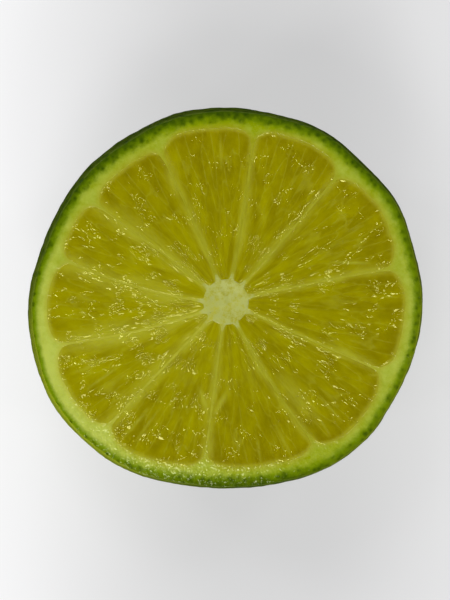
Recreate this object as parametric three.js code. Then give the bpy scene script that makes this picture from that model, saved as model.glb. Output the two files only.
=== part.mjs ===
// Half a lime, cut across its middle and resting on its stem end with the cut face up.
// Sizes are in millimetres and +Z is up. The origin is on the surface that the fruit rests on,
// under the middle of its outline. +X and +Y are right and up in a view from above.
import * as THREE from "three";
import { LoftGeometry } from "three/addons/geometries/LoftGeometry.js";

// The whole half fruit
const HEIGHT = 29; // from the resting spot to the cut
const WIDEST_HEIGHT = 24.5; // the fruit is a little wider here than at the cut above
const WIDEST_TILT = 1.2; // the cut is askew, so the widest level is this much lower on one side
const TILT_TOWARDS = 140; // degrees from +X to that side, where the skin shows beyond the cut
const MEAN_RADIUS = 28; // of the outline seen from above
const REST_RADIUS = 7; // of the flattened spot that it stands on
const SKIN_POWER = 2.1; // 2 would be an ellipse, and more makes fuller shoulders

// The outline seen from above: the skin's distance from the core, every 15 degrees from +X round by +Y
const OUTLINE = [
  28.3, 28.1, 28.6, 28.1, 28.4, 28.0, 28.0, 28.1, 27.75, 27.85, 27.65, 27.8,
  28.5, 28.75, 29.0, 28.6, 28.1, 27.15, 26.85, 27.15, 27.95, 28.3, 28.0, 28.15,
];

// One row for each segment: where the membrane before it meets the pith and where it meets the core,
// both in degrees from +X, and how thick the peel is over the middle of the segment
const SEGMENTS = [
  { atPith: 11.5, atCore: 13.5, peel: 2.8 },
  { atPith: 48.5, atCore: 46.5, peel: 2.7 },
  { atPith: 80.5, atCore: 76.5, peel: 3.0 },
  { atPith: 113.5, atCore: 110, peel: 3.7 },
  { atPith: 143, atCore: 142, peel: 3.2 },
  { atPith: 165.5, atCore: 178, peel: 2.9 },
  { atPith: 194.5, atCore: 203, peel: 3.1 },
  { atPith: 226.5, atCore: 226, peel: 2.8 },
  { atPith: 262.5, atCore: 262, peel: 3.1 },
  { atPith: 302, atCore: 295, peel: 2.7 },
  { atPith: 336, atCore: 336, peel: 2.6 },
];
const MEMBRANE_BEND = 0.7; // under 1, a membrane turns most of its way near the core

// The relief of the cut face
const CORE_RADIUS = 3.3;
const CORE_SINK = 0.35; // how far the core's spongy tissue has sunk, three quarters of the way out
const CORE_MOUND = 0.2; // how much of that its middle regains
const MEMBRANE_WIDTH = 0.6;
const MEMBRANE_SAG = 0.12; // how far below the peel a membrane's edge lies half way along
const PULP_DEPTH = 0.9; // the pulp has shrunk back this far below the membranes
const PULP_CROWN = 0.2; // how much of that it regains in the middle of a segment
const POCKET_SLOPE = 0.25; // the width of the step down from a membrane to the pulp
const CORNER_DROP = 1.9; // how much thicker the pith is where a membrane joins it
const CORNER_POWER = 6; // more makes the corners of a segment tighter
const SAC_RELIEF = 0.4; // the juice sacs, drawn larger than life
const SAC_VARIATION = 0.4; // the share by which one sac stands higher or lower than the next
const SACS_ACROSS = 4; // at the outer end of a segment, and one fewer in each rank nearer the core
const SAC_LENGTH = 5.2;

// The skin
const EDGE_ROUNDING = 0.25; // of the skin's edge at the cut
const PEBBLE = 0.1; // the oil glands, as bumps and pits in the skin
const FURROWS = 9; // shallow grooves that run out from the stem scar
const FURROW_DEPTH = 0.5;
const FURROW_REACH = 17; // the distance from the stem scar at which they fade out

// The dimple at the stem end, with the scar of the stem in it
const DIMPLE_RADIUS = 4.2;
const DIMPLE_DEPTH = 1.1;
const DIMPLE_SLOPE = 0.2; // how much shallower it is half way out from the scar
const SCAR_RADIUS = 2.2;
const SCAR_HEIGHT = 0.6; // how far it stands down into the dimple
const SCAR_CROWN = 0.15; // how much further its middle does

// How finely the surface is divided
const COLUMNS_PER_SEGMENT = 12;
const CORNER_CROWDING = 0.6; // 0 spaces a segment's columns evenly, and 1 crowds them into its corners
const SKIN_ROWS = 16;
const PEEL_SHARES = [1, 0.66, 0.33]; // from the skin in to the pulp
const PULP_ROWS = 17;
const CORE_SHARES = [0.75, 0.35]; // from the core's edge in to its middle
const SCAR_SHARES = [0.45, 0.9]; // from the scar's middle out to its edge

const DEGREE = Math.PI / 180;
const TURN = 360;
const SKIN_SEED = 11;
const PULP_SEED = 29;
const SEED_STRIDE = 1000; // more than the rows in any grid
const { lerp, smoothstep, euclideanModulo, seededRandom } = THREE.MathUtils;

// A repeatable random number from -1 to 1 for a place in a grid
function scatter(seed, column, row) {
  return 2 * seededRandom(seed + column * SEED_STRIDE + row) - 1;
}

const outlineCurve = new THREE.CatmullRomCurve3(
  OUTLINE.map((radius) => new THREE.Vector3(radius, 0, 0)),
  true,
  "catmullrom",
);

function outlineRadius(degrees) {
  return outlineCurve.getPoint(euclideanModulo(degrees, TURN) / TURN).x;
}

// The membrane before a segment, as an angle in degrees at a share of the way from core to pith.
// The membrane after the last segment is the first one, a whole turn on.
function membraneAngle(index, share) {
  const laps = Math.floor(index / SEGMENTS.length);
  const { atPith, atCore } = SEGMENTS[index % SEGMENTS.length];
  return lerp(atCore, atPith, share ** MEMBRANE_BEND) + TURN * laps;
}

// The peel is as thick as the segment says in its middle, and the mean of two neighbours at a membrane
function peelThickness(segment, across) {
  const side = across < 0.5 ? -1 : 1;
  const neighbour = SEGMENTS[euclideanModulo(segment + side, SEGMENTS.length)];
  const towardsMembrane = Math.abs(2 * across - 1);
  const even = lerp(SEGMENTS[segment].peel, neighbour.peel, towardsMembrane ** 2 / 2);
  return even + CORNER_DROP * towardsMembrane ** CORNER_POWER;
}

// How far across its segment a column lies, from 0 to 1, at a given distance from the core's axis:
// three columns follow each membrane's middle, its edge and the foot of its side, and the rest lie
// closer together towards the corners of the segment
function acrossPulp(step, arcLength) {
  const last = COLUMNS_PER_SEGMENT;
  const edge = MEMBRANE_WIDTH / 2 / arcLength;
  const foot = edge + POCKET_SLOPE / arcLength;
  if (step === 0) return 0;
  if (step === 1) return edge;
  if (step === last - 1) return 1 - edge;
  const even = (step - 2) / (last - 4);
  const crowded = (1 - Math.cos(Math.PI * even)) / 2;
  return lerp(foot, 1 - foot, lerp(even, crowded, CORNER_CROWDING));
}

const isMembrane = (step) => step <= 1 || step === COLUMNS_PER_SEGMENT - 1;

// A point from its angle, its distance from the core's axis and its height
function polar(degrees, radius, height) {
  const angle = degrees * DEGREE;
  return new THREE.Vector3(radius * Math.cos(angle), radius * Math.sin(angle), height);
}

// Each column is {segment, step}, and the functions below place it in one ring of the loft
const columns = SEGMENTS.flatMap((_, segment) =>
  Array.from({ length: COLUMNS_PER_SEGMENT }, (_, step) => ({ segment, step })),
);

const evenAcross = ({ step }) => step / COLUMNS_PER_SEGMENT;

function angleAt({ segment }, across, share) {
  return lerp(membraneAngle(segment, share), membraneAngle(segment + 1, share), across);
}

const skinAngle = (column) => angleAt(column, evenAcross(column), 1);

// The ring where the pulp ends against the pith
function pulpEdge(column) {
  const across = acrossPulp(column.step, membraneArc(column.segment, MEAN_RADIUS, 1));
  const degrees = angleAt(column, across, 1);
  const radius = outlineRadius(degrees) - peelThickness(column.segment, across);
  return { across, degrees, radius };
}

function membraneArc(segment, radius, share) {
  return radius * DEGREE * (membraneAngle(segment + 1, share) - membraneAngle(segment, share));
}

// Height of the pulp below the cut, with juice sacs that lie end to end from the pith to the core
function pulpHeight(column, across, depthFromPith) {
  const rank = Math.floor(depthFromPith / SAC_LENGTH);
  const along = depthFromPith / SAC_LENGTH - rank;
  const abreast = Math.max(1, SACS_ACROSS - rank);
  const sac = Math.floor(across * abreast);
  const round = Math.abs(Math.sin(Math.PI * abreast * across)) * Math.sqrt(Math.sin(Math.PI * along));
  const size = 1 + SAC_VARIATION * scatter(PULP_SEED, column.segment * SACS_ACROSS + sac, rank);
  const crown = PULP_CROWN * Math.sin(Math.PI * across);
  return HEIGHT - PULP_DEPTH + crown + SAC_RELIEF * size * round;
}

// A ring of the pulp and its membranes, a share of the way from the core to the pith
function pulpRing(share) {
  return columns.map((column) => {
    const edge = pulpEdge(column);
    const radius = lerp(CORE_RADIUS, edge.radius, share);
    const across = acrossPulp(column.step, membraneArc(column.segment, radius, share));
    const degrees = angleAt(column, across, share);
    const sag = MEMBRANE_SAG * Math.sin(Math.PI * share);
    const walls = share === 0 || share === 1 || isMembrane(column.step);
    const height = walls ? HEIGHT - sag : pulpHeight(column, across, edge.radius - radius);
    return polar(degrees, radius, height);
  });
}

// A ring of the cut peel, a share of the way from the pulp out to the skin's rounded edge
function peelRing(share) {
  return columns.map((column) => {
    const edge = pulpEdge(column);
    const degrees = lerp(edge.degrees, skinAngle(column), share);
    const outer = cutRadius(degrees) - EDGE_ROUNDING;
    return polar(degrees, lerp(edge.radius, outer, share), HEIGHT);
  });
}

// The skin is an upright oval, and the other half of it would be as high as this one
const ovalRadius = (flatness) => (1 - flatness ** SKIN_POWER) ** (1 / SKIN_POWER);
const REST_FLATNESS = ovalRadius(REST_RADIUS / MEAN_RADIUS);

function widestHeight(degrees) {
  return WIDEST_HEIGHT - WIDEST_TILT * Math.cos((degrees - TILT_TOWARDS) * DEGREE);
}

// The skin's radius at a height, as a share of its widest
function fullness(degrees, height) {
  const widest = widestHeight(degrees);
  return ovalRadius((REST_FLATNESS * Math.abs(height - widest)) / widest);
}

const cutRadius = (degrees) => outlineRadius(degrees) * fullness(degrees, HEIGHT);

// A ring of the skin at a height. It is round at the stem end and takes the outline's shape higher up.
function skinRing(height, row) {
  return columns.map((column, index) => {
    const degrees = skinAngle(column);
    const even = MEAN_RADIUS * fullness(degrees, height);
    const shaped = outlineRadius(degrees) * fullness(degrees, height);
    const leaving = smoothstep(even, REST_RADIUS, MEAN_RADIUS);
    const furrow = (1 - Math.cos(FURROWS * degrees * DEGREE)) / 2;
    const fade = smoothstep(even, REST_RADIUS, (REST_RADIUS + FURROW_REACH) / 2);
    const reach = fade * (1 - smoothstep(even, REST_RADIUS, FURROW_REACH));
    const plain = row === 0 || row === SKIN_ROWS;
    const pebble = plain ? 0 : PEBBLE * scatter(SKIN_SEED, index, row);
    const radius = lerp(even, shaped, leaving) - FURROW_DEPTH * furrow * reach + pebble;
    return polar(degrees, radius, height);
  });
}

const plainRing = (radius, height) =>
  columns.map((column) => polar(skinAngle(column), radius, height));

// The heights of the skin's rings are evenly spaced round the oval, from the flat spot to the cut
function skinHeights() {
  const halfHeight = WIDEST_HEIGHT / REST_FLATNESS;
  const swing = (height) => Math.acos((WIDEST_HEIGHT - height) / halfHeight);
  const top = HEIGHT - EDGE_ROUNDING;
  return Array.from({ length: SKIN_ROWS + 1 }, (_, row) => {
    const turn = lerp(swing(0), swing(top), row / SKIN_ROWS);
    return row === 0 ? 0 : WIDEST_HEIGHT - halfHeight * Math.cos(turn);
  });
}

// The stem scar, the dimple round it and the inner edge of the flat spot, from the middle outwards
function stemEndRings() {
  const scarEdge = DIMPLE_DEPTH - SCAR_HEIGHT;
  return [
    plainRing(SCAR_RADIUS * SCAR_SHARES[0], scarEdge - SCAR_CROWN),
    plainRing(SCAR_RADIUS * SCAR_SHARES[1], scarEdge),
    plainRing(SCAR_RADIUS, DIMPLE_DEPTH),
    plainRing((SCAR_RADIUS + DIMPLE_RADIUS) / 2, DIMPLE_DEPTH - DIMPLE_SLOPE),
    plainRing(DIMPLE_RADIUS, 0),
  ];
}

// Shares of the way from core to pith: one step down from each, and even rows between
function pulpShares() {
  const step = POCKET_SLOPE / (MEAN_RADIUS - CORE_RADIUS);
  const between = Array.from({ length: PULP_ROWS - 2 }, (_, row) =>
    lerp(step, 1 - step, row / (PULP_ROWS - 3)),
  );
  return [0, ...between, 1];
}

// A ring of the core, a share of the way from its axis to its edge
function coreRing(share, height) {
  return columns.map((column) =>
    polar(angleAt(column, evenAcross(column), 0), CORE_RADIUS * share, height),
  );
}

function halfLime() {
  const rings = [
    ...stemEndRings(),
    ...skinHeights().map(skinRing),
    ...PEEL_SHARES.map(peelRing),
    ...pulpShares().reverse().map(pulpRing),
    coreRing(CORE_SHARES[0], HEIGHT - CORE_SINK),
    coreRing(CORE_SHARES[1], HEIGHT - CORE_SINK + CORE_MOUND),
  ];
  const geometry = new LoftGeometry(rings, { capStart: true, capEnd: true });
  geometry.computeBoundingBox();
  const middle = geometry.boundingBox.getCenter(new THREE.Vector3());
  return geometry.translate(-middle.x, -middle.y, 0);
}

const limeGreen = new THREE.MeshStandardMaterial({
  color: 0x7f9a1c,
  roughness: 0.45,
  metalness: 0,
});

const lime = new THREE.Mesh(halfLime(), limeGreen);
lime.name = "lime_half";

const group = new THREE.Group();
group.add(lime);

export default group;
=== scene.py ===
# Half a lime on a pale table, seen from straight above. The fruit lies on its stem end with the cut face up.
# Shapes are worked out in millimetres round the fruit's core and turned into metres at the end.
import math

import bmesh
import bpy
import numpy as np
from bpy.props import FloatProperty, FloatVectorProperty, PointerProperty
from bpy.types import Operator, Panel, PropertyGroup
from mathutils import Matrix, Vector


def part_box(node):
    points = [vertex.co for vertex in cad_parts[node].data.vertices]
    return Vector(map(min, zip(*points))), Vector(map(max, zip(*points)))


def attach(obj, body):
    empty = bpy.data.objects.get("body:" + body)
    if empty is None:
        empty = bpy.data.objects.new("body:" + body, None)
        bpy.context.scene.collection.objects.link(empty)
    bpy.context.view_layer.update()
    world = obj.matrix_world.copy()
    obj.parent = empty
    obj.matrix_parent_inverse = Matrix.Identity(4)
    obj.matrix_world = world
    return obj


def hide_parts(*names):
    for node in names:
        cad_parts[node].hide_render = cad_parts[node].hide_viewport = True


bl_info = {
    "name": "Half a lime",
    "version": (1, 0, 0),
    "blender": (4, 5, 0),
    "location": "3D View > Sidebar > Lime",
    "description": "Builds the rind, the pulp and the stem scar of half a lime, and a stage for it",
    "category": "Add Mesh",
}

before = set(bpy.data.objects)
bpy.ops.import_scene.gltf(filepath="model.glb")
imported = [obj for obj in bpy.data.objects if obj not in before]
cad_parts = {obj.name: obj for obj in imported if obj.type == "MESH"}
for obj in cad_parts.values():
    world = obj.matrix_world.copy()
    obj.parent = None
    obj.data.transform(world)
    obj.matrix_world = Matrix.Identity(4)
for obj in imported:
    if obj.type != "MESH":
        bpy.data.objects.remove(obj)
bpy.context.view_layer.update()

NODE = "lime_half"
BODY = "root"
MM = 0.001
TURN = 360
FIELDS = "lime_shape", "lime_colours", "lime_stage"

# The fruit's core stands here, because the origin is under the middle of the outline
CORE_X = 0.09
CORE_Y = -0.52

# The outline seen from above: the skin's distance from the core, every 15 degrees from +X round by +Y
OUTLINE = (
    28.3, 28.1, 28.6, 28.1, 28.4, 28.0, 28.0, 28.1, 27.75, 27.85, 27.65, 27.8,
    28.5, 28.75, 29.0, 28.6, 28.1, 27.15, 26.85, 27.15, 27.95, 28.3, 28.0, 28.15,
)

# The membrane before each segment: the angles at which it meets the pith and the core, in degrees from +X
AT_PITH = (11.5, 48.5, 80.5, 113.5, 143, 165.5, 194.5, 226.5, 262.5, 302, 336)
AT_CORE = (13.5, 46.5, 76.5, 110, 142, 178, 203, 226, 262, 295, 336)
SEGMENTS = len(AT_PITH)
MEMBRANE_BEND = 0.7  # under 1, a membrane turns most of its way near the core
MEMBRANE_FLARE = 1.3  # the share by which a membrane widens at each end
FLARE_AT_CORE = 0.6  # the distance over which that fades
FLARE_AT_PITH = 0.7
MEMBRANE_CROWN = 0.01  # how far the edges of a membrane's top lie below its middle
POCKET_SLOPE = 0.3  # the width of the step down to a pocket's floor

# How thick the peel is over the middle of each segment
PEEL = (2.8, 2.7, 3.0, 3.7, 3.2, 2.9, 3.1, 2.8, 3.1, 2.7, 2.6)
CORNER_DROP = 1.9  # how much thicker the pith is where a membrane joins it
CORNER_POWER = 6  # more makes the corners of a segment tighter
ROUGH_PITH_RADIUS = 25  # about where the pulp ends against the pith
RIM_DIP = 0.06  # how far the cut peel has shrunk below the skin's edge
EDGE_SKIN = 0.9  # how far in over the rounded edge the skin goes, as a share
WET_PEEL = 15, 22  # the radii between which the wetness of the cut comes in
CORE_FADE = -0.2, 1.1  # how far past half a membrane's width the core's tissue begins and ends fading
PITH_EDGE = 0.7  # how far the peel has taken on the membranes' colour where the pulp begins
PAST_PEEL = 4.0  # a depth below the skin that is past all the green
FAR = 20.0  # so far from an end that a membrane doesn't widen

# The skin is an upright oval that stands on a flat spot, and the cut lies a little askew across it
MEAN_RADIUS = 28
WIDEST_HEIGHT = 24.5
WIDEST_TILT = 1.2  # how much lower the widest level is on one side, and higher on the other
TILT_TOWARDS = 140  # degrees from +X to that side
SKIN_POWER = 2.1  # 2 would be an ellipse, and more makes fuller shoulders
REST_RADIUS = 7
DIMPLE_RADIUS = 4.2
DIMPLE_DEPTH = 1.1
DIMPLE_FLOOR = 0.8  # how far out its floor is flat, as a share of the scar's radius
SCAR_RADIUS = 2.2
SCAR_HEIGHT = 0.85  # of the scar's middle level above the table
SCAR_HALF_THICKNESS = 0.42
FURROWS = 9  # shallow grooves that run out from the stem end
FURROW_DEPTH = 0.5
FURROW_RISE = 12  # the distance from the core by which they have come in
FURROW_REACH = 17  # and at which they have faded out

# Uneven surfaces: how far the bumps go either way, their size, and a seed
SKIN_WAVES = 0.08, 3, 5
SKIN_LUMPS = 0.05, 0.9, 6
PITH_WAVES = 0.12, 1.7, 31
RIM_LUMPS = 0.05, 0.8, 3
MEMBRANE_LUMPS = 0.01, 0.7, 8
CORE_LUMPS = 0.08, 0.6, 12
LARGE_MOUNDS = 0.045, 1.2, 41
SMALL_MOUNDS = 0.022, 0.7, 42
FILM_PATCHES = 0.35, 3, 43  # in how wet the pulp is, so not a height

# The pulp, and how unlike each other its juice sacs are
WALL_OVERLAP = 0.18  # how far the pulp runs in under a membrane
END_OVERLAP = 0.3  # and under the pith
PULP_LIP = 0.01  # about how far it stands above a membrane where they meet
PULP_DIVE = 0.25  # the slope of its hidden border
PULP_THICKNESS = 1.3
SAC_SEED = 100
RANK_STEP = 0.62  # from one rank of sacs to the next, as a share of their length
SAC_SHIFT = 0.25  # how far a sac may lie to one side, as a share of its width
SAC_LEAN = 0.3  # how far its tip may lean, likewise
SAC_START = 1  # how far its root may lie from its rank
SAC_LENGTHS = 0.75, 1.3
SAC_WIDTHS = 0.75, 1.25
SAC_END = 0.45  # the width of a sac's ends, as a share of its middle
GROOVE = 0.9  # the width of the groove where two sacs part, in half widths of a sac
PULP_FALL = 1.4  # the distance from its border over which the pulp sinks to its depth
RELIEF_RISE = 0.6  # and over which its relief comes in

# The colours of the pulp
WALL_BAND = 0.55, 0.5  # the usual width and strength of the pale band along a membrane
END_BAND = 0.4, 0.65  # and of the one along the pith
PARTING_LINE = 0.2, 0.3  # and of the pale line where two sacs part
STREAK_ENDS = 0.12  # 0 lets a streak fade out fully at its ends, and 0.5 not at all
USUAL_TONE = 0.27  # 0 is the deep colour of the juice sacs and 1 the light one
DEEP_REACH = 2.2  # the distance from the pith over which the deep colour fades
OUTER_PART = 8, 22  # the radii between which a segment's outer part begins

# Pale streaks where a membrane leans away below the pulp, or where two juice sacs part:
# from an angle and a radius to another, how wide, and how strong
STREAKS = (
    (253, 13, 261.5, 16.5, 0.45, 0.8),
    (270.5, 13, 263.5, 16.5, 0.45, 0.8),
    (139, 8, 139.5, 21, 0.9, 0.45),
    (164, 9, 169, 19, 0.8, 0.55),
    (193.5, 13, 191.5, 20, 0.8, 0.5),
    (306, 13, 307, 21, 1.2, 0.5),
    (15, 21.5, 21, 16, 0.22, 0.75),
    (333, 23, 335, 25, 0.2, 0.6),
    (92, 19, 92, 24, 0.2, 0.45),
    (206, 19, 205, 24, 0.22, 0.5),
    (211, 18, 212, 23.5, 0.22, 0.5),
    (234, 19, 233, 24.5, 0.25, 0.55),
    (238, 18, 237, 24, 0.22, 0.45),
    (283, 20, 282, 24.5, 0.2, 0.4),
    (292, 19, 293, 24.5, 0.22, 0.45),
    (309, 20, 308, 24.5, 0.2, 0.45),
    (315, 19, 314, 24, 0.2, 0.45),
)

# How the fruit differs round the core: the usual value, then lobes of a direction, a spread and an amount.
# They are about how many millimetres deep the dark and the light green of the peel reach, and then, from 0
# for not at all to 1 for fully, how pale the pith, how pale and yellow the skin, how wet the peel, how wet
# the pulp and how pale the pulp is. The skin's paleness is partly painted light, which lightens the skin's
# edge on the sides where it faces outwards and gets little light. The pulp's wetness goes past 1 in places.
DARK_REACH = 1.0, ((105, 50, 0.58), (270, 22, 0.6), (198, 42, -0.74), (345, 30, -0.15))
GREEN_REACH = 0.98, ((105, 45, 0.18), (272, 25, 0.22), (201, 35, -0.45), (345, 25, -0.17))
WHITENESS = 0.42, ((205, 32, 0.6), (345, 25, 0.1), (90, 38, -0.35), (295, 25, -0.2))
# Where the skin is paler and yellower, and painted lighter so that its edge, which faces outwards and gets
# little light, looks lit
PALE_AND_LIT_SKIN = 0.0, ((217, 32, 1.0), (355, 28, 0.45), (315, 25, 0.35))
WETNESS = 0.12, ((254, 36, 0.9), (345, 30, 0.25))
JUICINESS = 0.65, ((140, 35, 0.08), (188, 30, 0.3), (230, 28, 0.6))
PALENESS = 0.0, ((190, 50, 1.0),)

# The stage, in metres unless it says otherwise
PICTURE_TO_CORE = 0.14, -0.29  # from the middle of the picture to the core, right and up, in millimetres
SENSOR_WIDTH = 36  # of the camera, in millimetres
SOFTBOX_DISTANCE = 0.8
FLOOR_REACH = 4  # from the middle of the table to its edge
LEFT_FADE = -0.042, 0.001  # where the table's glow begins and ends falling off from the left
MIDDLE_GLOW = 0.64  # as a share of the glow on the left
RIGHT_RISE = 0.012, 0.036  # where it rises again on the right, by the next amount
RIGHT_GLOW = 0.12

# The patterns in the materials: their repeats in a metre
SKIN_GLANDS = 900
CUT_GLANDS = 1150
SKIN_PATCHES = 70
SHEEN_PATCHES = 600
SKIN_GRAIN = 2500
PEEL_WANDER = 900
PITH_CLOUDS = 600
CORE_SPONGE = 900
TISSUE_GRAIN = 1300
RIM_DROPS = 1500
DROP_CLUSTERS = 380
SCAR_CORK = 1500

# and how high their bumps are, in metres
SKIN_GRAIN_HEIGHT = 0.00002
GLAND_HEIGHT = 0.00012
TISSUE_GRAIN_HEIGHT = 0.00002
RIM_DROP_HEIGHT = 0.00028
PULP_DROP_HEIGHT = 0.000075
CORK_HEIGHT = 0.0002

# How finely the meshes are divided
COLUMNS = 60  # of the rind, in each segment
TOP_COLUMNS = 6  # on each side of a membrane's top
SIDE_COLUMNS = 4  # down each side of a membrane
DIMPLE_ROWS = 10
REST_ROWS = 3
SKIN_ROWS = 44
EDGE_ROWS = 4
RIM_ROWS = 16
POCKET_ROWS = 54
CORE_ROWS = 12
ROWS = DIMPLE_ROWS + REST_ROWS + SKIN_ROWS + EDGE_ROWS + RIM_ROWS + POCKET_ROWS + CORE_ROWS
ROW_CROWDING = 0.8  # 0 spaces a pocket's rows evenly, and 1 crowds them towards its ends
PULP_COLUMNS = 96
PULP_ROWS = 150


def number(name, description, default, unit="NONE"):
    return FloatProperty(name=name, description=description, default=default, unit=unit, min=0)


def length(name, description, default):
    return number(name, description, default, "LENGTH")


def colour(name, description, default):
    return FloatVectorProperty(name=name, description=description, default=default, subtype="COLOR")


class LimeShape(PropertyGroup):
    height: length("Height", "From the table to the cut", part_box(NODE)[1].z)
    edge_rounding: length("Edge rounding", "Radius of the skin's edge at the cut", 0.00015)
    core_radius: length("Core radius", "From the middle of the core to the pulp", 0.0033)
    core_sink: length("Core sink", "How far the spongy core has sunk below the cut", 0.0003)
    membrane_width: length("Membrane width", "Across the top of a membrane, half way along", 0.0004)
    membrane_sag: length(
        "Membrane sag", "How far the top of a membrane lies below the cut, half way along", 0.00012
    )
    pocket_depth: length(
        "Pocket depth", "Depth of the hollow in the rind that holds a segment's pulp", 0.0016
    )
    pulp_depth: length(
        "Pulp depth", "How far the pulp lies below the cut in the middle of a segment", 0.00006
    )
    sac_width: length("Sac width", "Width of a juice sac", 0.002)
    sac_length: length("Sac length", "Length of a juice sac", 0.0065)
    sac_relief: length("Sac relief", "Depth of the grooves between juice sacs", 0.000025)


class LimeColours(PropertyGroup):
    skin: colour("Skin", "Most of the skin", (0.02, 0.052, 0.0003))
    # Paler, yellower skin, which on some sides is also painted light on the skin's edge where it faces
    # outwards and gets little light
    pale_skin_and_painted_light: colour("Light skin", "Patches of skin that have begun to turn yellow", (0.26, 0.32, 0.004))
    flavedo: colour("Green of the peel", "The cut peel just inside the skin", (0.17, 0.262, 0.0))
    pith_green: colour(
        "Green pith", "The inner part of the cut peel where the fruit is greenest", (0.29, 0.355, 0.0)
    )
    pith: colour(
        "White pith", "The inner part of the cut peel where the fruit is palest", (0.5, 0.57, 0.09)
    )
    membrane: colour(
        "Membrane", "The walls between the segments where the fruit is greenest", (0.34, 0.33, 0.012)
    )
    membrane_pale: colour(
        "Pale membrane", "The walls between the segments where the fruit is palest", (0.46, 0.45, 0.035)
    )
    streak: colour("Streak", "Membranes and partings that show through the pulp", (0.44, 0.44, 0.03))
    core: colour("Core", "The spongy tissue in the middle", (0.43, 0.455, 0.115))
    pulp: colour("Pulp", "The juice sacs near the core and the membranes", (0.37, 0.345, 0.0))
    pulp_deep: colour(
        "Deep pulp", "The juice sacs near the peel, where they are thickest", (0.24, 0.205, 0.0)
    )
    scar: colour("Stem scar", "The dry button that the stem left", (0.16, 0.1, 0.035))


class LimeStage(PropertyGroup):
    # The colour of the table's glow, which is painted light; the table's own diffuse colour is a fixed dark
    # grey
    floor: colour("Table", "Colour of the table", (0.8, 0.8, 0.81))
    floor_glow: number(
        "Table glow", "Light from the table itself, which softens the fruit's shadow", 0.9
    )
    softbox_power: number("Softbox power", "Power of a softbox of the usual strength", 1.0, "POWER")
    surround: number("Surround", "Strength of the soft light from all round, low down", 0.9)
    lens: number("Lens", "Focal length of the camera in millimetres", 500, "CAMERA")
    view_height: length("View height", "Height of the picture, measured at the level of the cut", 0.0862)


def smoothstep(low, high, values):
    share = np.clip((values - low) / (high - low), 0, 1)
    return share * share * (3 - 2 * share)


def lerp(start, end, share):
    return start + (end - start) * share


def value_noise(x, y, seed):
    """Smooth noise from -1 to 1, with about one bump for each unit of x and y."""
    column, row = np.floor(x), np.floor(y)
    across, along = smoothstep(0, 1, x - column), smoothstep(0, 1, y - row)

    # These factors only scatter the values, and others would do as well
    def corner(right, up):
        wave = np.sin((column + right) * 12.9898 + (row + up) * 78.233 + seed * 37.719) * 43758.5453
        return 2 * (wave - np.floor(wave)) - 1

    low = lerp(corner(0, 0), corner(1, 0), across)
    high = lerp(corner(0, 1), corner(1, 1), across)
    return lerp(low, high, along)


def bumps(degrees, radius, height, kind):
    """Smooth bumps and hollows at places on the fruit, of one of the kinds named above."""
    amount, size, seed = kind
    angle = np.radians(degrees)
    x, y = radius * np.cos(angle), radius * np.sin(angle)
    return amount * value_noise((x + height) / size, (y - height) / size, seed)


def lobe(degrees, towards, spread):
    """1 towards one side of the fruit, fading to 0 either way."""
    turn = (degrees - towards + TURN / 2) % TURN - TURN / 2
    return np.exp(-((turn / spread) ** 2))


def around(degrees, variation):
    """A quantity that differs round the core."""
    usual, lobes = variation
    return usual + sum(amount * lobe(degrees, towards, spread) for towards, spread, amount in lobes)


def outline_radius(degrees):
    """The skin's distance from the core at its widest: a smooth closed curve through OUTLINE."""
    values = np.array(OUTLINE)
    place = np.mod(degrees, TURN) / TURN * len(values)
    index = np.floor(place).astype(int)
    share = place - index
    before, start, end, after = (values[(index + k) % len(values)] for k in (-1, 0, 1, 2))
    leave, arrive = (end - before) / 2, (after - start) / 2
    bend = 3 * (end - start) - 2 * leave - arrive
    turn = 2 * (start - end) + leave + arrive
    return start + leave * share + bend * share**2 + turn * share**3


def oval(flatness):
    """The width of the skin's oval, from 1 at its widest level to 0 at its ends."""
    return (1 - flatness**SKIN_POWER) ** (1 / SKIN_POWER)


def fullness(degrees, height):
    """The skin's radius at a height, as a share of its widest."""
    widest = WIDEST_HEIGHT - WIDEST_TILT * np.cos(np.radians(degrees - TILT_TOWARDS))
    rest = oval(REST_RADIUS / MEAN_RADIUS)
    return oval(rest * np.abs(height - widest) / widest)


def skin_relief(degrees, radius, height):
    """How far broad waves and the lumps of the oil glands lift the skin."""
    return bumps(degrees, radius, height, SKIN_WAVES) + bumps(degrees, radius, height, SKIN_LUMPS)


def cut_radius(degrees, top):
    """The skin's radius at the cut."""
    radius = outline_radius(degrees) * fullness(degrees, top)
    return radius + skin_relief(degrees, radius, top)


def membrane_angle(index, share):
    """The angle of the membrane before a segment, a share of the way from the core to the pith."""
    index = np.asarray(index)
    at_pith = np.array(AT_PITH)[index % SEGMENTS] + TURN * (index // SEGMENTS)
    at_core = np.array(AT_CORE)[index % SEGMENTS] + TURN * (index // SEGMENTS)
    return lerp(at_core, at_pith, np.clip(share, 0, 1) ** MEMBRANE_BEND)


def segment_sides(segment, share):
    """The angles of the membranes before and after a segment."""
    return membrane_angle(segment, share), membrane_angle(segment + 1, share)


def peel_thickness(segment, across):
    """Thicker where a membrane joins it, which rounds the corners of the segments."""
    peel = np.array(PEEL)
    neighbour = peel[(segment + np.where(across < 0.5, -1, 1)) % SEGMENTS]
    towards_membrane = np.abs(2 * across - 1)
    even = lerp(peel[segment % SEGMENTS], neighbour, towards_membrane**2 / 2)
    return even + CORNER_DROP * towards_membrane**CORNER_POWER


def pith_radius_at(degrees, segment, across):
    """Where the pulp ends against the pith, which is a little uneven."""
    even = outline_radius(degrees) - peel_thickness(segment, across)
    return even + bumps(degrees, even, 0, PITH_WAVES)


def membrane_half_width(shape, from_core, from_pith):
    """A membrane widens where it leaves the core and where it runs into the pith."""
    half = shape.membrane_width / MM / 2
    at_core = MEMBRANE_FLARE * np.exp(-from_core / FLARE_AT_CORE)
    at_pith = MEMBRANE_FLARE * np.exp(-from_pith / FLARE_AT_PITH)
    return half * (1 + at_core + at_pith)


def coordinates(mesh):
    flat = np.empty(len(mesh.vertices) * 3, np.float32)
    mesh.vertices.foreach_get("co", flat)
    return flat.reshape(-1, 3).astype(float)


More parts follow.
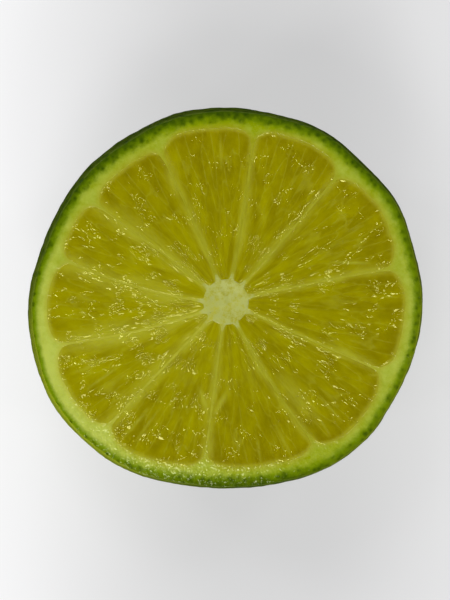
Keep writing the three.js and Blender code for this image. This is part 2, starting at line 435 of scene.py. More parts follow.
def place_polar(mesh, degrees, radius, height):
    """Moves the vertices to angles and radii round the core, and heights, in millimetres."""
    angle = np.radians(degrees)
    placed = np.stack(
        [CORE_X + radius * np.cos(angle), CORE_Y + radius * np.sin(angle), height], axis=1
    )
    mesh.vertices.foreach_set("co", (placed * MM).astype(np.float32).ravel())


def paint(mesh, name, values):
    """Keeps one number for each vertex, which the materials read as an attribute."""
    layer = mesh.attributes.new(name, "FLOAT", "POINT")
    layer.data.foreach_set("value", np.asarray(values, np.float32))


def lay_out_fan(mesh):
    """A UV map of angle and radius round the core, so that the pulp's grain fans out from it."""
    layer = mesh.uv_layers.new(name="fan")
    corner_vertex = np.empty(len(mesh.loops), np.int32)
    mesh.loops.foreach_get("vertex_index", corner_vertex)
    place = coordinates(mesh) / MM
    x, y = place[:, 0] - CORE_X, place[:, 1] - CORE_Y
    fan = np.stack([np.arctan2(y, x) / math.tau + 0.5, np.hypot(x, y) / MEAN_RADIUS], axis=1)
    corners = fan[corner_vertex].reshape(-1, 2)
    layer.data.foreach_set("uv", corners.astype(np.float32).ravel())


def clean_mesh(mesh):
    """Closes seams and poles and turns every face outwards."""
    shape = bmesh.new()
    shape.from_mesh(mesh)
    bmesh.ops.remove_doubles(shape, verts=shape.verts, dist=1e-7)
    bmesh.ops.recalc_face_normals(shape, faces=shape.faces)
    for face in shape.faces:
        face.smooth = True
    shape.to_mesh(mesh)
    shape.free()


def add_object(name, data):
    made = bpy.data.objects.new(name, data)
    bpy.context.scene.collection.objects.link(made)
    return made


def finish_piece(mesh, name, materials):
    piece = add_object(name, mesh)
    for material in materials:
        mesh.materials.append(material)
    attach(piece, BODY)
    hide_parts(NODE)


def new_mesh(name, build):
    """A mesh made by one bmesh operator."""
    shape = bmesh.new()
    build(shape)
    mesh = bpy.data.meshes.new(name)
    shape.to_mesh(mesh)
    shape.free()
    return mesh


def new_sheet(name, columns, rows, size=1):
    """A flat grid that reaches as far as its size from its middle each way."""
    return new_mesh(
        name, lambda bm: bmesh.ops.create_grid(bm, x_segments=columns, y_segments=rows, size=size)
    )


def plug(tree, made, inputs):
    """Links or sets a node's inputs. Each value is another node's output, a number or a colour."""
    for name, value in inputs.items():
        socket = made.inputs[name]
        if isinstance(value, bpy.types.NodeSocket):
            tree.links.new(value, socket)
        elif socket.type == "RGBA":
            socket.default_value = (*value, 1)
        else:
            socket.default_value = value


def node(tree, kind, inputs=None, **settings):
    made = tree.nodes.new(kind)
    for name, value in settings.items():
        setattr(made, name, value)
    plug(tree, made, inputs or {})
    return made


def mix(tree, factor, below, above):
    """A mix of two colours, which the node takes as its inputs 6 and 7 and gives as its output 2."""
    inputs = {0: factor, 6: below, 7: above}
    return node(tree, "ShaderNodeMix", inputs, data_type="RGBA").outputs[2]


def ramp(tree, value, low, high, to_low=0.0, to_high=1.0):
    """A smooth step from to_low at low to to_high at high."""
    inputs = {
        "Value": value, "From Min": low, "From Max": high, "To Min": to_low, "To Max": to_high,
    }
    return node(
        tree, "ShaderNodeMapRange", inputs, interpolation_type="SMOOTHSTEP"
    ).outputs["Result"]


def math_node(tree, operation, first, second):
    return node(tree, "ShaderNodeMath", {0: first, 1: second}, operation=operation).outputs[0]


def attribute(tree, name):
    return node(tree, "ShaderNodeAttribute", attribute_name=name).outputs["Fac"]


def place_on_fruit(tree):
    return node(tree, "ShaderNodeTexCoord").outputs["Object"]


def place_on_fan(tree, across, along):
    """Fan coordinates, stretched so that a pattern has so many repeats round and along the cut."""
    fan = node(tree, "ShaderNodeUVMap", uv_map="fan").outputs["UV"]
    return node(
        tree, "ShaderNodeMapping", {"Vector": fan, "Scale": (across, along, 1)}
    ).outputs["Vector"]


def noise(tree, where, scale, detail=2.0, roughness=0.5):
    inputs = {"Vector": where, "Scale": scale, "Detail": detail, "Roughness": roughness}
    return node(tree, "ShaderNodeTexNoise", inputs).outputs["Fac"]


def cells(tree, where, scale, randomness):
    """The distance to the middle of the nearest oil gland."""
    inputs = {"Vector": where, "Scale": scale, "Randomness": randomness}
    return node(tree, "ShaderNodeTexVoronoi", inputs, feature="SMOOTH_F1").outputs["Distance"]


def new_material(name):
    material = bpy.data.materials.new(name)
    material.use_nodes = True
    tree = material.node_tree
    return material, tree, tree.nodes["Principled BSDF"]


def bump(tree, height, distance, below=None):
    inputs = {"Height": height, "Distance": distance, "Strength": 1.0}
    if below is not None:
        inputs["Normal"] = below
    return node(tree, "ShaderNodeBump", inputs).outputs["Normal"]


def skin_material(colours):
    """Waxy green skin with pitted oil glands, lighter patches, and painted light that lightens it on some
    sides.
    """
    material, tree, shader = new_material("lime skin")
    where = place_on_fruit(tree)
    glands = cells(tree, where, SKIN_GLANDS, 0.85)
    patches = ramp(tree, noise(tree, where, SKIN_PATCHES, 3), 0.45, 0.75)
    # Lighter in random patches, and on some sides with painted light
    light = math_node(tree, "ADD", math_node(tree, "MULTIPLY", patches, 0.25), attribute(tree, "pale_and_lit_skin"))
    green = mix(tree, light, colours.skin, colours.pale_skin_and_painted_light)
    pit = ramp(tree, glands, 0.15, 0.5)
    mottled = mix(tree, math_node(tree, "MULTIPLY", pit, 0.15), green, colours.pale_skin_and_painted_light)
    fine = bump(tree, noise(tree, where, SKIN_GRAIN), SKIN_GRAIN_HEIGHT)
    plug(tree, shader, {
        "Base Color": mottled,
        "Roughness": ramp(tree, noise(tree, where, SHEEN_PATCHES), 0.3, 0.7, 0.34, 0.48),
        "Specular IOR Level": 0.25,
        "Specular Tint": (0.9, 1.0, 0.5),
        "Normal": bump(tree, pit, GLAND_HEIGHT, fine),
    })
    return material


def tissue_material(colours):
    """The cut peel, the membranes and the core: moist and pale, green towards the skin."""
    material, tree, shader = new_material("lime pith and membranes")
    where = place_on_fruit(tree)
    glands = cells(tree, where, CUT_GLANDS, 1.0)
    wander = math_node(tree, "MULTIPLY", noise(tree, where, PEEL_WANDER, 4, 0.65), 1.2)
    wander = math_node(tree, "SUBTRACT", wander, 0.6)
    cloud = math_node(tree, "MULTIPLY", noise(tree, where, PITH_CLOUDS, 5, 0.7), 1.6)
    white = math_node(tree, "ADD", attribute(tree, "white"), math_node(tree, "SUBTRACT", cloud, 0.8))
    pith = mix(tree, white, colours.pith_green, colours.pith)
    depth = attribute(tree, "depth")
    in_green, in_dark = (
        math_node(tree, "ADD", math_node(tree, "DIVIDE", depth, attribute(tree, reach)), wander)
        for reach in ("green_reach", "dark_reach")
    )
    # The skin at the cut's edge, painted lighter on some sides as painted light
    skin = mix(tree, attribute(tree, "pale_and_lit_skin"), colours.skin, colours.pale_skin_and_painted_light)
    peel = mix(tree, ramp(tree, in_green, 0.65, 2.05), colours.flavedo, pith)
    near_gland = ramp(tree, glands, 0.0, 0.6, 0.8, 0.0)
    gland_shade = math_node(tree, "MULTIPLY", near_gland, ramp(tree, in_dark, 0.6, 1.4, 1.0, 0.0))
    peel = mix(tree, ramp(tree, in_dark, -0.3, 1.2, 1.0, 0.0), peel, skin)
    peel = mix(tree, gland_shade, peel, colours.skin)
    membrane = mix(tree, white, colours.membrane, colours.membrane_pale)
    inner = mix(tree, attribute(tree, "inner"), peel, membrane)
    sponge = noise(tree, where, CORE_SPONGE, 6, 0.8)
    spongy = mix(tree, ramp(tree, sponge, 0.44, 0.64), colours.core, membrane)
    wet = math_node(tree, "MULTIPLY", noise(tree, where, RIM_DROPS, 1), attribute(tree, "wet"))
    grained = bump(tree, noise(tree, where, TISSUE_GRAIN, 4, 0.6), TISSUE_GRAIN_HEIGHT)
    plug(tree, shader, {
        "Base Color": mix(tree, attribute(tree, "core"), inner, spongy),
        "Roughness": ramp(tree, attribute(tree, "core"), 0, 1, 0.17, 0.5),
        "Specular IOR Level": 0.4,
        "Specular Tint": (1.0, 1.0, 0.65),
        "Subsurface Weight": 0.3,
        "Subsurface Radius": (1.0, 0.9, 0.25),
        "Subsurface Scale": 0.0004,
        "Normal": bump(tree, wet, RIM_DROP_HEIGHT, grained),
    })
    return material


def pulp_material(colours):
    """Wet, see-through juice sacs with a grain that fans out from the core."""
    material, tree, shader = new_material("lime pulp")
    patches = noise(tree, place_on_fan(tree, 70, 7), 1, 3, 0.5)
    fibres = noise(tree, place_on_fan(tree, 300, 22), 1, 2)
    wander = math_node(tree, "MULTIPLY", math_node(tree, "SUBTRACT", patches, 0.5), 1.6)
    tone = math_node(tree, "ADD", attribute(tree, "tone"), wander)
    juice = mix(tree, ramp(tree, tone, -0.1, 1.1), colours.pulp_deep, colours.pulp)
    ribbed = math_node(tree, "SUBTRACT", fibres, 0.5)
    pale = math_node(tree, "ADD", attribute(tree, "pale"), math_node(tree, "MULTIPLY", ribbed, 0.4))
    plug(tree, shader, {
        "Base Color": mix(tree, pale, juice, colours.streak),
        "Roughness": 0.1,
        "Specular IOR Level": 0.6,
        "Specular Tint": (1.0, 0.97, 0.35),
        "Subsurface Weight": 0.5,
        "Subsurface Radius": (1.0, 0.85, 0.05),
        "Subsurface Scale": 0.0006,
        "Normal": bump(tree, drops(tree), PULP_DROP_HEIGHT),
    })
    return material


def drops(tree):
    """Flat drops of juice with curved rims, in loose clusters."""
    straight = place_on_fan(tree, 105, 14)
    wander = node(tree, "ShaderNodeTexNoise", {"Vector": straight, "Scale": 1.5}).outputs["Color"]
    bent = node(
        tree, "ShaderNodeVectorMath", {0: straight, 1: wander}, operation="ADD"
    ).outputs["Vector"]
    to_rim = node(
        tree, "ShaderNodeTexVoronoi", {"Vector": bent, "Scale": 1.0}, feature="DISTANCE_TO_EDGE"
    ).outputs["Distance"]
    cluster = ramp(tree, noise(tree, place_on_fruit(tree), DROP_CLUSTERS, 1), 0.44, 0.66)
    height = math_node(tree, "MULTIPLY", ramp(tree, to_rim, 0.0, 0.2), cluster)
    return math_node(tree, "MULTIPLY", height, attribute(tree, "film"))


def scar_material(colours):
    """Dry, corky tissue where the stem broke off."""
    material, tree, shader = new_material("stem scar")
    where = place_on_fruit(tree)
    cork = noise(tree, where, SCAR_CORK, 5, 0.65)
    dark = tuple(0.4 * channel for channel in colours.scar)
    plug(tree, shader, {
        "Base Color": mix(tree, ramp(tree, cork, 0.35, 0.65), dark, colours.scar),
        "Roughness": 0.85,
        "Normal": bump(tree, cork, CORK_HEIGHT),
    })
    return material


def floor_material(stage):
    """A pale table that glows, with painted light that is brightest on its left and a little brighter again
    on its right.
    """
    material, tree, shader = new_material("pale table")
    across = node(tree, "ShaderNodeSeparateXYZ", {"Vector": place_on_fruit(tree)}).outputs["X"]
    left = ramp(tree, across, *LEFT_FADE, stage.floor_glow, stage.floor_glow * MIDDLE_GLOW)
    right = ramp(tree, across, *RIGHT_RISE, 0.0, RIGHT_GLOW)
    plug(tree, shader, {
        "Base Color": (0.25, 0.25, 0.25),
        "Roughness": 0.9,
        "Specular IOR Level": 0.1,
        "Emission Color": stage.floor,
        "Emission Strength": math_node(tree, "ADD", left, right),
    })
    return material


class RindRows:
    """Where each vertex of the rind lies, from its row and column in a flat sheet that is rolled up.

    Its rows run from the middle of the stem end, out over the skin and in over the cut to the core.
    """

    def __init__(self, shape, mesh):
        sheet = coordinates(mesh)
        self.shape = shape
        self.top = shape.height / MM
        self.rounding = shape.edge_rounding / MM
        self.core_radius = shape.core_radius / MM
        steps = SEGMENTS * COLUMNS
        column = np.round((sheet[:, 0] + 1) / 2 * steps).astype(int) % steps
        self.segment, self.step = column // COLUMNS, column % COLUMNS
        self.row = np.round((sheet[:, 1] + 1) / 2 * ROWS).astype(int)
        self.even = self.step / COLUMNS
        self.degrees, self.radius, self.z, self.depth, self.inner, self.core = np.zeros((6, len(sheet)))

    def zone(self, last, rows):
        """The vertices of so many rows after the last zone's, and how far through them each one is."""
        chosen = (self.row > last) & (self.row <= last + rows)
        return chosen, (self.row[chosen] - last) / rows

    def place(self, chosen, degrees, radius, z):
        self.degrees[chosen] = degrees
        self.radius[chosen] = radius
        self.z[chosen] = z

    def even_degrees(self, chosen, share):
        """Angles that share out the way from one membrane to the next evenly."""
        return lerp(*segment_sides(self.segment[chosen], share), self.even[chosen])


def pocket_degrees(shape, segment, step, radius, share, from_pith):
    """Columns that follow each membrane's top and sides and share out the pocket's floor between them."""
    half = membrane_half_width(shape, radius - shape.core_radius / MM, from_pith)
    slope = half + POCKET_SLOPE
    before, after = segment_sides(segment, share)
    foot = TOP_COLUMNS + SIDE_COLUMNS

    def out_from_membrane(steps):
        on_top = half * steps / TOP_COLUMNS
        on_side = lerp(half, slope, (steps - TOP_COLUMNS) / SIDE_COLUMNS)
        return np.degrees(np.where(steps <= TOP_COLUMNS, on_top, on_side) / radius)

    floor_start = before + np.degrees(slope / radius)
    floor_end = after - np.degrees(slope / radius)
    floor = lerp(floor_start, floor_end, (step - foot) / (COLUMNS - 2 * foot))
    degrees = np.where(step < foot, before + out_from_membrane(step), floor)
    mirrored = COLUMNS - step
    return np.where(mirrored < foot, after - out_from_membrane(mirrored), degrees)


def pith_edge(shape, segment, step):
    """Angle and radius at which the pulp ends against the pith, for each column."""
    degrees = pocket_degrees(shape, segment, step, ROUGH_PITH_RADIUS, 1.0, 0.0)
    before, after = segment_sides(segment, 1.0)
    across = (degrees - before) / (after - before)
    return degrees, pith_radius_at(degrees, segment, across)


def shape_dimple(rind, chosen, _share):
    """The hollow at the stem end, with a flat floor under the scar."""
    radius = DIMPLE_RADIUS * (rind.row[chosen] / DIMPLE_ROWS)
    slope = smoothstep(SCAR_RADIUS * DIMPLE_FLOOR, DIMPLE_RADIUS, radius)
    rind.place(chosen, rind.even_degrees(chosen, 1.0), radius, DIMPLE_DEPTH * (1 - slope))


def shape_rest(rind, chosen, share):
    """The flat ring that the fruit stands on."""
    radius = lerp(DIMPLE_RADIUS, REST_RADIUS, share)
    rind.place(chosen, rind.even_degrees(chosen, 1.0), radius, 0)


def shape_skin(rind, chosen, share):
    """The skin, from the flat ring up to its rounded edge."""
    degrees = rind.even_degrees(chosen, 1.0)
    half_height = WIDEST_HEIGHT / oval(REST_RADIUS / MEAN_RADIUS)
    heights = 0, rind.top - rind.rounding
    bottom, brim = (math.acos((WIDEST_HEIGHT - z) / half_height) for z in heights)
    z = WIDEST_HEIGHT - half_height * np.cos(lerp(bottom, brim, share))
    full = fullness(degrees, z)
    leaving = smoothstep(REST_RADIUS, MEAN_RADIUS, MEAN_RADIUS * full)
    furrow = (1 - np.cos(np.radians(FURROWS * degrees))) / 2
    spread = smoothstep(REST_RADIUS, FURROW_RISE, MEAN_RADIUS * full)
    spread = spread * (1 - smoothstep(REST_RADIUS, FURROW_REACH, MEAN_RADIUS * full))
    radius = lerp(MEAN_RADIUS, outline_radius(degrees), leaving) * full
    relief = skin_relief(degrees, radius, z) * smoothstep(0, 0.2, share)
    rind.place(chosen, degrees, radius + relief - FURROW_DEPTH * furrow * spread, z)


def shape_edge(rind, chosen, share):
    """The skin's rounded edge at the cut."""
    degrees = rind.even_degrees(chosen, 1.0)
    turn = share * math.pi / 2
    inwards = rind.rounding * (1 - np.cos(turn))
    down = rind.rounding * (1 - np.sin(turn))
    rind.place(chosen, degrees, cut_radius(degrees, rind.top) - inwards, rind.top - down)
    rind.depth[chosen] = inwards


def shape_rim(rind, chosen, share):
    """The cut peel, from the rounded edge in to the pulp, a little shrunken and uneven."""
    pith_degrees, pith_radius = pith_edge(rind.shape, rind.segment[chosen], rind.step[chosen])
    degrees = lerp(rind.even_degrees(chosen, 1.0), pith_degrees, share)
    outer = cut_radius(degrees, rind.top) - rind.rounding
    radius = lerp(outer, pith_radius, share)
    uneven = bumps(degrees, radius, rind.top, RIM_LUMPS)
    dip = np.sin(math.pi * share) * (RIM_DIP + uneven * around(degrees, WETNESS))
    rind.place(chosen, degrees, radius, rind.top - dip)
    rind.depth[chosen] = outer + rind.rounding - radius
    rind.inner[chosen] = PITH_EDGE * smoothstep(0.6, 1.0, share)


def shape_pockets(rind, chosen, share):
    """The membranes, and between them the pockets that hold the pulp."""
    shape, top = rind.shape, rind.top
    segment, step = rind.segment[chosen], rind.step[chosen]
    _, pith_radius = pith_edge(shape, segment, step)
    crowded = (1 - np.cos(math.pi * share)) / 2
    inwards = lerp(share, crowded, ROW_CROWDING)
    radius = lerp(pith_radius, rind.core_radius, inwards)
    from_pith = pith_radius - radius
    from_core = radius - rind.core_radius
    degrees = pocket_degrees(shape, segment, step, radius, 1 - inwards, from_pith)
    half = membrane_half_width(shape, from_core, from_pith)
    to_membrane = np.minimum(step, COLUMNS - step)
    on_top = np.clip(to_membrane / TOP_COLUMNS, 0, 1)
    down_side = np.clip((to_membrane - TOP_COLUMNS) / SIDE_COLUMNS, 0, 1)
    wall = smoothstep(0, POCKET_SLOPE, np.minimum(from_pith, from_core))
    sag = shape.membrane_sag / MM * np.sin(math.pi * inwards)
    uneven = bumps(degrees, radius, top, MEMBRANE_LUMPS)
    ridge = sag + (MEMBRANE_CROWN * on_top**2 + uneven) * wall
    floor = shape.pocket_depth / MM
    down = lerp(ridge, floor, smoothstep(0, 1, down_side) * wall)
    rind.place(chosen, degrees, radius, top - down)
    rind.depth[chosen] = PAST_PEEL
    rind.inner[chosen] = lerp(PITH_EDGE, 1.0, smoothstep(0, 2, from_pith))
    rind.core[chosen] = 1 - smoothstep(*CORE_FADE, from_core - half)


def shape_core(rind, chosen, share):
    """The sunken, spongy core."""
    segment, step = rind.segment[chosen], rind.step[chosen]
    edge_degrees = pocket_degrees(rind.shape, segment, step, rind.core_radius, 0.0, FAR)
    even_degrees = rind.even_degrees(chosen, 0.0)
    radius = rind.core_radius * (1 - share)
    spongy = bumps(even_degrees, radius, rind.top, CORE_LUMPS)
    bowl = smoothstep(0, 0.6, share) * (rind.shape.core_sink / MM + spongy)
    degrees = lerp(edge_degrees, even_degrees, smoothstep(0, 0.5, share))
    rind.place(chosen, degrees, radius, rind.top - bowl)
    rind.depth[chosen] = PAST_PEEL
    rind.core[chosen] = 1


def shape_rind(rind):
    """Moves the sheet's vertices, one zone after another, from the dimple to the core."""
    last = -1
    for shape_zone, rows in (
        (shape_dimple, DIMPLE_ROWS + 1),
        (shape_rest, REST_ROWS),
        (shape_skin, SKIN_ROWS),
        (shape_edge, EDGE_ROWS),
        (shape_rim, RIM_ROWS),
        (shape_pockets, POCKET_ROWS),
        (shape_core, CORE_ROWS),
    ):
        chosen, share = rind.zone(last, rows)
        shape_zone(rind, chosen, share)
        last += rows


def split_skin_from_cut(mesh, least_depth):
    """Gives the second material to the faces of the cut, which lie deeper than the skin's rounded edge."""
    depth = np.empty(len(mesh.vertices), np.float32)
    mesh.attributes["depth"].data.foreach_get("value", depth)
    for polygon in mesh.polygons:
        if min(depth[v] for v in polygon.vertices) > least_depth:
            polygon.material_index = 1


class LIME_OT_rind(Operator):
    """Build the rind: the skin, the cut peel, the membranes between the segments and the core"""

    bl_idname = "lime.rind"
    bl_label = "Build rind"

    def execute(self, context):
        shape, colours = context.scene.lime_shape, context.scene.lime_colours
        mesh = new_sheet("rind", SEGMENTS * COLUMNS, ROWS)
        rind = RindRows(shape, mesh)
        shape_rind(rind)
        place_polar(mesh, rind.degrees, rind.radius, rind.z)
        paint(mesh, "depth", rind.depth)
        paint(mesh, "inner", rind.inner)
        paint(mesh, "core", rind.core)
        paint(mesh, "dark_reach", around(rind.degrees, DARK_REACH))
        paint(mesh, "green_reach", around(rind.degrees, GREEN_REACH))
        paint(mesh, "white", around(rind.degrees, WHITENESS))
        from_stem = smoothstep(REST_RADIUS / 2, FURROW_REACH, rind.radius)
        # Where the skin is paler and painted lighter, as painted light, fading out towards the stem
        paint(mesh, "pale_and_lit_skin", around(rind.degrees, PALE_AND_LIT_SKIN) * from_stem)
        paint(mesh, "wet", around(rind.degrees, WETNESS) * smoothstep(*WET_PEEL, rind.radius))
        clean_mesh(mesh)
        finish_piece(mesh, "rind", [skin_material(colours), tissue_material(colours)])
        split_skin_from_cut(mesh, rind.rounding * EDGE_SKIN)
        return {"FINISHED"}


class JuiceSacs:
    """The juice sacs of one segment. Each is a line from its root to its tip, which is nearer the core."""

    def __init__(self, shape, segment, inner, outer):
        chance = np.random.default_rng(SAC_SEED + segment)
        length, width = shape.sac_length / MM, shape.sac_width / MM
        rows = []
        rank, root = 0, outer
        while root > inner + 1:
            arc = self.arc(segment, root - length / 3)
            abreast = max(1, round(arc / width))
            for place in range(abreast + rank % 2):
                shift = 0.0 if rank % 2 else 0.5
                across = (place + shift + chance.uniform(-SAC_SHIFT, SAC_SHIFT)) / abreast
                rows.append((
                    across,
                    across + chance.uniform(-SAC_LEAN, SAC_LEAN) / abreast,
                    root + chance.uniform(-SAC_START, SAC_START),
                    length * chance.uniform(*SAC_LENGTHS),
                    width / 2 * chance.uniform(*SAC_WIDTHS),
                    chance.uniform(0, 1),
                    chance.uniform(-1, 1),
                ))
            rank += 1
            root -= length * RANK_STEP
        self.rows = rows

    @staticmethod
    def arc(segment, radius):
        """Width of a segment at a radius, in millimetres."""
        before, after = segment_sides(segment, 1.0)
        return np.radians(after - before) * radius

    def measure(self, segment, across, radius):
        """For each point: how far it is from the parting of two sacs, and its own sac's tone and lift."""
        nearest = np.full(len(radius), 1e9)
        second = np.full(len(radius), 1e9)
        tone = np.zeros(len(radius))
        lift = np.zeros(len(radius))
        arc = self.arc(segment, radius)
        for root_across, tip_across, root, length, half, sac_tone, sac_lift in self.rows:
            along = (root - radius) / length
            within = np.clip(along, 0, 1)
            taper = lerp(SAC_END, 1, np.sin(math.pi * within**0.8))
            sideways = (across - lerp(root_across, tip_across, within)) * arc / (half * taper)
            beyond = (along - within) * length / half
            distance = np.hypot(sideways, beyond)
            closer = distance < nearest
            second = np.where(closer, nearest, np.minimum(second, distance))
            nearest = np.where(closer, distance, nearest)
            tone = np.where(closer, sac_tone, tone)
            lift = np.where(closer, sac_lift, lift)
        return second - nearest, tone, lift


def pale_band(distance, width, strength):
    """Strongest at its middle, and almost gone at twice its width."""
    return strength * np.exp(-((distance / width) ** 2))


def streak_strength(degrees, radius):
    """How pale the pulp is because of the streaks, from 0 to 1."""
    angle = np.radians(degrees)
    x, y = radius * np.cos(angle), radius * np.sin(angle)
    pale = np.zeros(len(radius))
    for from_degrees, from_radius, to_degrees, to_radius, width, strength in STREAKS:
        start = from_radius * np.exp(1j * math.radians(from_degrees))
        along = to_radius * np.exp(1j * math.radians(to_degrees)) - start
        offset = (x - start.real) + 1j * (y - start.imag)
        share = np.clip((offset * np.conj(along)).real / abs(along) ** 2, 0, 1)
        distance = np.abs(offset - share * along)
        fade = np.sin(math.pi * lerp(STREAK_ENDS, 1 - STREAK_ENDS, share))
        pale = np.maximum(pale, pale_band(distance, width, strength * fade))
    return pale


def juice_film(degrees, radius):
    """The height of the wet surface in small mounds, and how wet the pulp is there."""
    film = around(degrees, JUICINESS) + bumps(degrees, radius, 0, FILM_PATCHES)
    large = bumps(degrees, radius, 0, LARGE_MOUNDS)
    small = bumps(degrees, radius, 0, SMALL_MOUNDS)
    return (large + small) * film, film


def close_underside(mesh, height):
    """Extrudes a sheet's border down to a height and closes it with a floor."""
    shape = bmesh.new()
    shape.from_mesh(mesh)
    border = [edge for edge in shape.edges if edge.is_boundary]
    for item in bmesh.ops.extrude_edge_only(shape, edges=border)["geom"]:
        if isinstance(item, bmesh.types.BMVert):
            item.co.z = height
    border = [edge for edge in shape.edges if edge.is_boundary]
    bmesh.ops.holes_fill(shape, edges=border, sides=0)
    shape.to_mesh(mesh)
    shape.free()


def build_pulp(shape, segment, materials):
    """One segment's pulp: a closed sheet whose border is hidden under the membranes and the pith."""
    top = shape.height / MM
    core_radius = shape.core_radius / MM
    name = f"pulp_segment_{segment + 1:02d}"
    mesh = new_sheet(name, PULP_COLUMNS, PULP_ROWS)
    square = coordinates(mesh)
    across, outwards = (square[:, 0] + 1) / 2, (square[:, 1] + 1) / 2
    before, after = segment_sides(segment, 1.0)
    rim_half = membrane_half_width(shape, FAR, 0.0)
    rim_inset = np.degrees((rim_half - WALL_OVERLAP) / ROUGH_PITH_RADIUS)
    rim_degrees = lerp(before + rim_inset, after - rim_inset, across)
    rim_across = (rim_degrees - before) / (after - before)
    pith_radius = pith_radius_at(rim_degrees, np.full(len(across), segment), rim_across)
    radius = lerp(core_radius - WALL_OVERLAP, pith_radius + END_OVERLAP, outwards)
    from_pith, from_core = pith_radius - radius, radius - core_radius
    share = np.clip(from_core / (pith_radius - core_radius), 0, 1)
    half = membrane_half_width(shape, np.maximum(from_core, 0), np.maximum(from_pith, 0))
    wall_degrees = np.degrees((half - WALL_OVERLAP) / radius)
    before, after = segment_sides(segment, share)
    first_side, last_side = before + wall_degrees, after - wall_degrees
    degrees = lerp(first_side, last_side, across)

    arc = np.radians(last_side - first_side) * radius
    to_side = np.minimum(across, 1 - across) * arc - WALL_OVERLAP
    to_wall = np.minimum(np.minimum(to_side, from_pith), from_core)
    sacs = JuiceSacs(shape, segment, core_radius, float(pith_radius.max()))
    parting, tone, lift = sacs.measure(segment, across, radius)

    groove = 1 - smoothstep(0, GROOVE, parting)
    away = smoothstep(0, PULP_FALL, to_wall)
    sac_surface = 0.5 * lift * (1 - groove) - groove
    mounds, film = juice_film(degrees, radius)
    surface = shape.sac_relief / MM * sac_surface + mounds
    sag = shape.membrane_sag / MM * np.sin(math.pi * share)
    hidden = np.maximum(-to_wall, 0)
    sunk = PULP_DIVE * hidden - PULP_LIP + (shape.pulp_depth / MM) * away
    z = top - sag - sunk + surface * smoothstep(0, RELIEF_RISE, to_wall)
    place_polar(mesh, degrees, radius, z)

    outer_part = smoothstep(*OUTER_PART, radius)
    side = np.where(across < 0.5, segment, segment + 1.5)
    palest = around(degrees, PALENESS)
    width, strength = WALL_BAND
    width = width + 0.25 * value_noise(radius / 3.5, side * 9, 17) + 0.8 * palest
    width = width * lerp(0.35, 1.0, smoothstep(4, 11, radius))
    strength = strength + 0.3 * value_noise(radius / 2.7, side * 5, 23) + 0.1 * palest
    pale_wall = pale_band(np.maximum(to_side, 0), width, strength)
    pale_end = pale_band(np.maximum(from_pith, 0), *END_BAND)
    pale_parting = pale_band(parting, *PARTING_LINE) * lerp(0.4, 1.0, outer_part)
    pale = np.maximum(np.maximum(pale_wall, pale_end), pale_parting)
    paint(mesh, "pale", np.clip(np.maximum(pale, streak_strength(degrees, radius)), 0, 1))
    paint(mesh, "film", film)
    deep = np.exp(-np.maximum(from_pith, 0) / DEEP_REACH) * (1 - palest)
    tone = USUAL_TONE + 0.25 * tone + 0.1 * (1 - outer_part) - 0.25 * deep + 0.25 * palest
    paint(mesh, "tone", tone)

    close_underside(mesh, (top - PULP_THICKNESS) * MM)
    clean_mesh(mesh)
    lay_out_fan(mesh)
    finish_piece(mesh, name, materials)


class LIME_OT_pulp(Operator):
    """Build the pulp: eleven segments of juice sacs, each in its pocket between two membranes"""

    bl_idname = "lime.pulp"
    bl_label = "Build pulp"

    def execute(self, context):
        material = pulp_material(context.scene.lime_colours)
        for segment in range(SEGMENTS):
            build_pulp(context.scene.lime_shape, segment, [material])
        return {"FINISHED"}


class LIME_OT_scar(Operator):
    """Build the stem scar: a dry ridged button in the dimple underneath"""

    bl_idname = "lime.scar"
    bl_label = "Build stem scar"

    def execute(self, context):
        mesh = new_mesh(
            "stem_scar",
            lambda bm: bmesh.ops.create_uvsphere(bm, u_segments=72, v_segments=24, radius=1),
        )
        ball = coordinates(mesh)
        degrees = np.degrees(np.arctan2(ball[:, 1], ball[:, 0]))
        share = np.hypot(ball[:, 0], ball[:, 1])
        five_sides = 0.06 * np.cos(np.radians(5 * degrees))
        ragged = 0.03 * value_noise(degrees / 15, share * 3, 2)
        radius = SCAR_RADIUS * share * (1 + five_sides + ragged)
        hollow = 0.15 * np.exp(-((share / 0.35) ** 2))
        ridges = 0.05 * np.cos(np.radians(15 * degrees)) * share * (1 - share)
        height = SCAR_HEIGHT + SCAR_HALF_THICKNESS * ball[:, 2] + hollow - ridges
        place_polar(mesh, degrees, radius, height)
        clean_mesh(mesh)
        finish_piece(mesh, "stem_scar", [scar_material(context.scene.lime_colours)])
        return {"FINISHED"}


def add_softbox(name, azimuth, elevation, power, size):
    """A square area light that faces the fruit."""
    light = bpy.data.lights.new(name, "AREA")
    light.shape = "SQUARE"
    light.size = size
    light.energy = power
    softbox = add_object(name, light)
    turn, rise = math.radians(azimuth), math.radians(elevation)
    away = Vector((
        math.cos(turn) * math.cos(rise), math.sin(turn) * math.cos(rise), math.sin(rise),
    ))
    softbox.location = away * SOFTBOX_DISTANCE
    softbox.rotation_euler = away.to_track_quat("Z", "Y").to_euler()


def light_surround(strength):
    """Soft light from all round that leaves the sky overhead dark, so wet flesh doesn't mirror it."""
    world = bpy.data.worlds.new("surround")
    world.use_nodes = True
    bpy.context.scene.world = world
    tree = world.node_tree
    direction = node(tree, "ShaderNodeTexCoord").outputs["Generated"]
    rise = node(tree, "ShaderNodeSeparateXYZ", {"Vector": direction}).outputs["Z"]
    below_horizon = ramp(tree, rise, -0.1, 0.0)
    band = math_node(tree, "MULTIPLY", below_horizon, ramp(tree, rise, 0.25, 0.5, strength, 0.0))
    plug(tree, tree.nodes["Background"], {"Color": (1, 1, 1), "Strength": band})


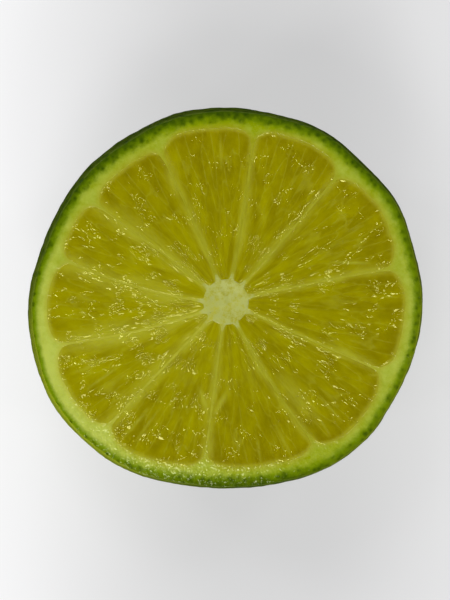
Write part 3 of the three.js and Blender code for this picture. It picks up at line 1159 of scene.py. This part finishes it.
class LIME_OT_stage(Operator):
    """Build the stage: a pale table, soft lights and a camera that looks straight down"""

    bl_idname = "lime.stage"
    bl_label = "Build stage"

    def execute(self, context):
        stage, shape = context.scene.lime_stage, context.scene.lime_shape
        mesh = new_sheet("floor", 1, 1, FLOOR_REACH)
        mesh.materials.append(floor_material(stage))
        floor = add_object("floor", mesh)
        floor.visible_glossy = False

        for name, azimuth, elevation, share, size in (
            ("softbox_key", 250, 62, 2.0, 0.24),
            ("softbox_back_key", 115, 64, 1.1, 0.2),
            ("softbox_front", -85, 42, 0.8, 0.11),
            ("softbox_front_right", -25, 38, 0.6, 0.11),
            ("softbox_back_right", 35, 45, 0.6, 0.11),
            ("softbox_back", 95, 40, 0.4, 0.11),
            ("softbox_back_left", 150, 44, 0.7, 0.11),
            ("softbox_front_left", 210, 40, 0.8, 0.11),
        ):
            add_softbox(name, azimuth, elevation, stage.softbox_power * share, size)
        light_surround(stage.surround)

        lens = bpy.data.cameras.new("camera")
        lens.lens = stage.lens
        lens.sensor_width = SENSOR_WIDTH
        lens.clip_end = 10
        camera = add_object("camera", lens)
        distance = stage.view_height * stage.lens / SENSOR_WIDTH
        right, up = PICTURE_TO_CORE
        camera.location = ((CORE_X - right) * MM, (CORE_Y - up) * MM, shape.height + distance)
        context.scene.camera = camera
        context.scene.view_settings.view_transform = "Standard"
        context.scene.view_settings.look = "None"
        return {"FINISHED"}


class LIME_PT_sidebar(Panel):
    bl_idname = "LIME_PT_sidebar"
    bl_label = "Half a lime"
    bl_space_type = "VIEW_3D"
    bl_region_type = "UI"
    bl_category = "Lime"

    def draw(self, context):
        for operator in OPERATORS:
            self.layout.operator(operator.bl_idname)
        for field in FIELDS:
            group = getattr(context.scene, field)
            box = self.layout.box()
            for name in group.__annotations__:
                box.prop(group, name)


OPERATORS = LIME_OT_rind, LIME_OT_pulp, LIME_OT_scar, LIME_OT_stage
GROUPS = LimeShape, LimeColours, LimeStage
CLASSES = (*GROUPS, *OPERATORS, LIME_PT_sidebar)


def register():
    for item in CLASSES:
        bpy.utils.register_class(item)
    for field, group in zip(FIELDS, GROUPS):
        setattr(bpy.types.Scene, field, PointerProperty(type=group))


def unregister():
    for field in FIELDS:
        delattr(bpy.types.Scene, field)
    for item in reversed(CLASSES):
        bpy.utils.unregister_class(item)


def main():
    register()
    bpy.ops.lime.rind()
    bpy.ops.lime.pulp()
    bpy.ops.lime.scar()
    bpy.ops.lime.stage()


if __name__ == "__main__":
    main()
